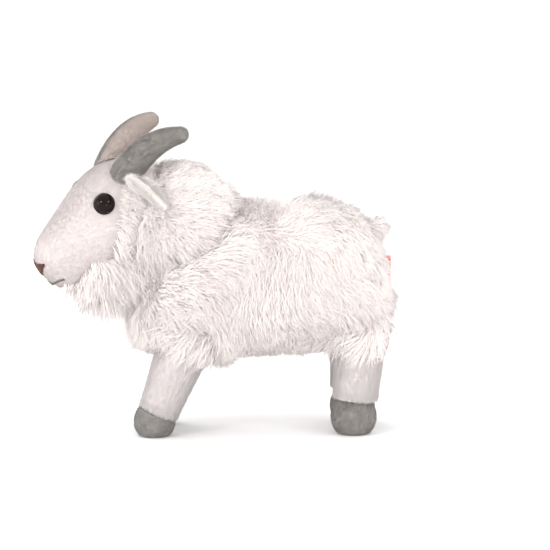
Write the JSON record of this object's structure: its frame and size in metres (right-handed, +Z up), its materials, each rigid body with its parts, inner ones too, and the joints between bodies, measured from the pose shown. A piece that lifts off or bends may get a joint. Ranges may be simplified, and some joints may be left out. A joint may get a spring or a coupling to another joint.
{
  "type": "plush mountain goat",
  "caption": "Standing stuffed toy mountain goat in white long-pile plush, with grey horns and hooves, button eyes, a blank red label and softly swinging head, ears, legs and tail.",
  "frame": {"origin": "On the floor under the middle of the toy: the bottom centre of its bounding box.", "axes": "+Z is up, the goat faces -Y, and its own left side is +X."},
  "size_m": [0.0929, 0.202, 0.1776],
  "materials": {
    "long_pile": "white long-pile plush cloth, soft curly wisps",
    "short_pile": "white short-pile plush cloth",
    "filling": "loose polyester filling",
    "horn_pile": "grey short-pile plush cloth",
    "hoof_pile": "grey short-pile plush cloth",
    "ear_pile": "cream short-pile plush cloth",
    "ear_lining": "tan brushed cloth",
    "nose_thread": "dark brown embroidery thread, satin stitch",
    "grey_thread": "dark grey embroidery thread",
    "white_thread": "white sewing thread",
    "label_ribbon": "plain red woven ribbon, blank",
    "eye_gloss": "glossy black moulded plastic",
    "eye_washer": "plain white moulded plastic"
  },
  "bodies": {
    "torso": {"torso_cover_left": "long_pile", "torso_cover_right": "long_pile", "belly_gusset": "long_pile", "torso_stuffing": "filling", "closing_stitches": "white_thread", "sewn_label": "label_ribbon"},
    "neck": {"neck_cover_left": "long_pile", "neck_cover_right": "long_pile", "neck_stuffing": "filling"},
    "head": {"head_cover_left": "short_pile", "head_cover_right": "short_pile", "forehead_gusset": "short_pile", "chin_gusset": "short_pile", "head_stuffing": "filling", "eye_left": "eye_gloss", "eye_right": "eye_gloss", "eye_washer_left": "eye_washer", "eye_washer_right": "eye_washer", "nose_embroidery": "nose_thread", "mouth_embroidery": "grey_thread", "beard": "long_pile", "horn_cover_left": "horn_pile", "horn_cover_right": "horn_pile", "horn_stuffing_left": "filling", "horn_stuffing_right": "filling"},
    "ear_left": {"ear_outer_left": "ear_pile", "ear_lining_left": "ear_lining"},
    "ear_right": {"ear_outer_right": "ear_pile", "ear_lining_right": "ear_lining"},
    "fore_leg_left": {"fore_leg_cover_left": "short_pile", "fore_leg_stuffing_left": "filling", "fore_hoof_left": "hoof_pile", "fore_stitches_left": "grey_thread"},
    "fore_leg_right": {"fore_leg_cover_right": "short_pile", "fore_leg_stuffing_right": "filling", "fore_hoof_right": "hoof_pile", "fore_stitches_right": "grey_thread"},
    "hind_leg_left": {"hind_leg_cover_left": "short_pile", "hind_leg_stuffing_left": "filling", "hind_hoof_left": "hoof_pile", "hind_stitches_left": "grey_thread"},
    "hind_leg_right": {"hind_leg_cover_right": "short_pile", "hind_leg_stuffing_right": "filling", "hind_hoof_right": "hoof_pile", "hind_stitches_right": "grey_thread"},
    "tail": {"tail_cover": "long_pile", "tail_stuffing": "filling"}
  },
  "joints": [
    {"name": "neck_turn", "type": "hinge", "parent": "torso", "child": "neck", "pos_m": [0, -0.021, 0.117], "axis": [0, 0, 1], "range_deg": [-15, 15], "stiffness_Nm_per_rad": 0.3},
    {"name": "head_nod", "type": "hinge", "parent": "neck", "child": "head", "pos_m": [0, -0.054, 0.1275], "axis": [0.9458, 0.3073, -0.1045], "range_deg": [-4, 5], "stiffness_Nm_per_rad": 0.3},
    {"name": "ear_left_flap", "type": "hinge", "parent": "head", "child": "ear_left", "pos_m": [0.0249, -0.0479, 0.1421], "axis": [0.7223, -0.6318, 0.2815], "range_deg": [0, 12], "stiffness_Nm_per_rad": 0.01},
    {"name": "ear_right_flap", "type": "hinge", "parent": "head", "child": "ear_right", "pos_m": [-0.0239, -0.0583, 0.1436], "axis": [0.69, 0.6639, -0.2884], "range_deg": [-10, 20], "stiffness_Nm_per_rad": 0.01},
    {"name": "fore_leg_left_swing", "type": "hinge", "parent": "torso", "child": "fore_leg_left", "pos_m": [0.019, -0.014, 0.058], "axis": [1, 0, 0], "range_deg": [-15, 15], "stiffness_Nm_per_rad": 0.2},
    {"name": "fore_leg_right_swing", "type": "hinge", "parent": "torso", "child": "fore_leg_right", "pos_m": [-0.019, -0.014, 0.058], "axis": [1, 0, 0], "range_deg": [-15, 15], "stiffness_Nm_per_rad": 0.2},
    {"name": "hind_leg_left_swing", "type": "hinge", "parent": "torso", "child": "hind_leg_left", "pos_m": [0.019, 0.0805, 0.058], "axis": [1, 0, 0], "range_deg": [-15, 15], "stiffness_Nm_per_rad": 0.2},
    {"name": "hind_leg_right_swing", "type": "hinge", "parent": "torso", "child": "hind_leg_right", "pos_m": [-0.019, 0.0805, 0.058], "axis": [1, 0, 0], "range_deg": [-15, 15], "stiffness_Nm_per_rad": 0.2},
    {"name": "tail_lift", "type": "hinge", "parent": "torso", "child": "tail", "pos_m": [0, 0.084, 0.1105], "axis": [1, 0, 0], "range_deg": [-10, 15], "stiffness_Nm_per_rad": 0.01}
  ]
}
